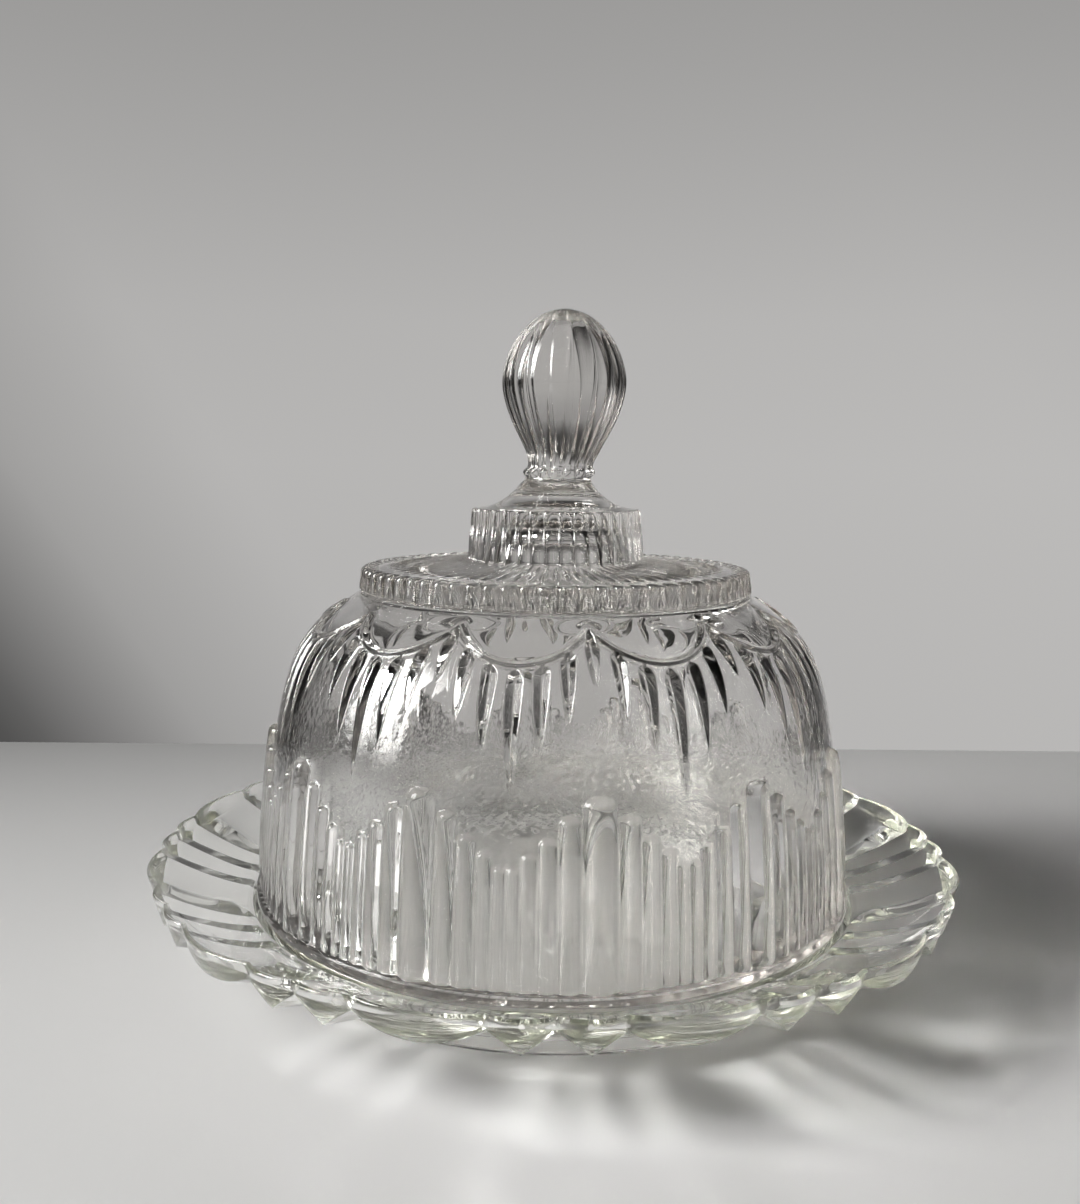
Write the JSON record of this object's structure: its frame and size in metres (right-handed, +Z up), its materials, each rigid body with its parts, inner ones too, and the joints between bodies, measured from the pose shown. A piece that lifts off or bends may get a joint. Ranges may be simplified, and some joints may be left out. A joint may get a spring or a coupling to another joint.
{
  "type": "covered glass butter dish",
  "caption": "Pressed-glass serving plate with a fluted, scalloped rim on a foot ring, under a lift-off bell cover with a ribbed knob.",
  "frame": {"origin": "centre of the circle on which the foot ring stands, in the plane of the table", "axes": "+Z up along the axis of the plate and of the cover; the plate's pattern has a notch between two small lobes at -Y"},
  "size_m": [0.1934, 0.1934, 0.1531],
  "materials": {
    "plate_glass": "fire-polished clear pressed glass, faint straw tint in thick edges",
    "cover_glass": "fire-polished clear pressed glass with a finely stippled ground between the cut patterns"
  },
  "bodies": {
    "plate": {"plate": "plate_glass"},
    "cover": {"cover": "cover_glass"}
  },
  "joints": [
    {"name": "cover_lift", "type": "slide", "parent": "plate", "child": "cover", "axis": [0, 0, 1], "range_m": [0, 0.15]}
  ]
}
